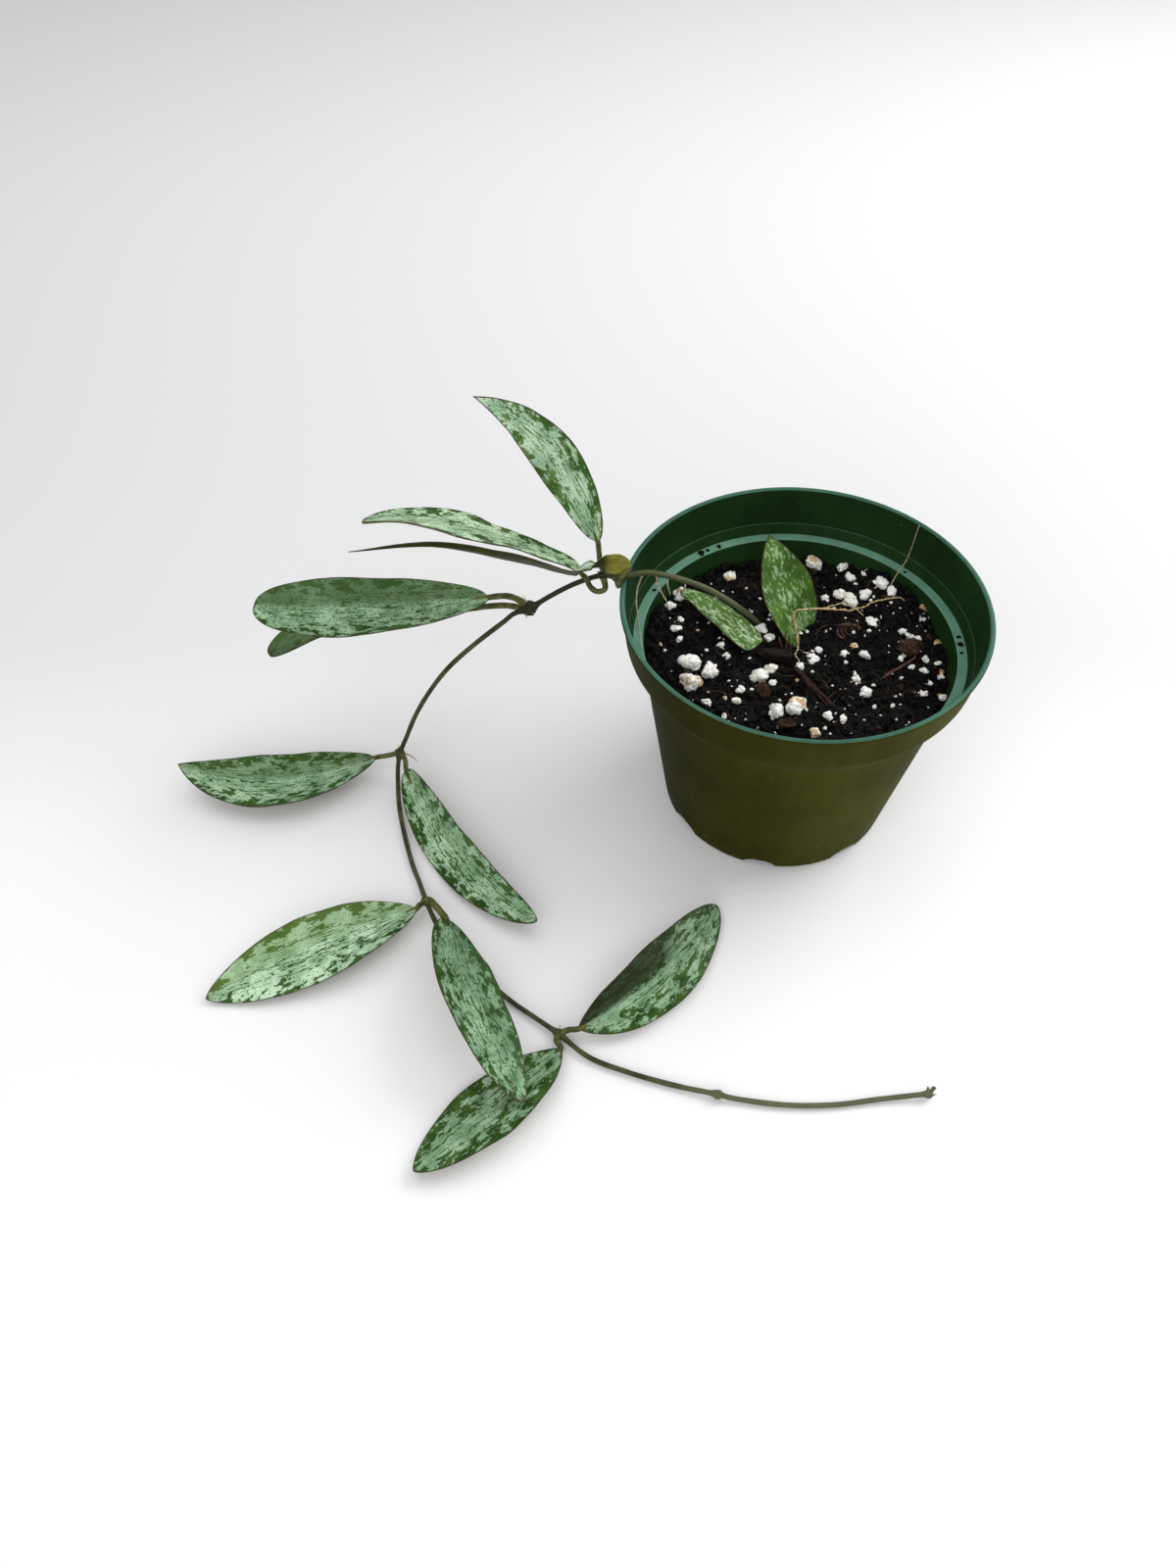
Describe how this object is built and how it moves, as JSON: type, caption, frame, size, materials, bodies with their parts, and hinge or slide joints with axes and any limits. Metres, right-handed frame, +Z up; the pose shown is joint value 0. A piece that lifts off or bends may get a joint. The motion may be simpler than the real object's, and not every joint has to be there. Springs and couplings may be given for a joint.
{
  "type": "potted trailing vine",
  "caption": "Trailing wax plant in a plastic nursery pot: a long vine with paired, silver-flecked lance leaves climbs over the rim and lies beside the pot.",
  "frame": {"origin": "centre of the pot's flat underside, on the surface it stands on", "axes": "+Z up; the vine leaves the pot toward -X and its end lies in front of the pot, at -Y"},
  "size_m": [0.3595, 0.2724, 0.186],
  "materials": {
    "pot": "satin moulded plastic",
    "soil": "loose damp potting mix with white perlite",
    "stem": "matt green stem",
    "leaf": "waxy leaf, silver splashes over green",
    "pot_leaf": "waxy leaf, green with few silver flecks",
    "root": "dry root",
    "bark": "rough bark and fibre"
  },
  "bodies": {
    "root": {"pot": "pot", "potting_mix": "soil", "vine_stem": "stem", "leaf_a1": "leaf", "leaf_a2": "leaf", "leaf_a3": "leaf", "leaf_b1": "leaf", "leaf_b2": "leaf", "leaf_c1": "leaf", "leaf_c2": "leaf", "leaf_d1": "leaf", "leaf_d2": "leaf", "leaf_e1": "leaf", "leaf_e2": "leaf", "pot_leaf_standing": "pot_leaf", "pot_leaf_lying": "pot_leaf", "surface_root": "root", "root_hair": "root", "bark_log": "bark", "bark_red": "bark", "bark_brown": "bark", "bark_strip": "bark", "fibre_lump": "bark", "twig": "bark"}
  },
  "joints": []
}
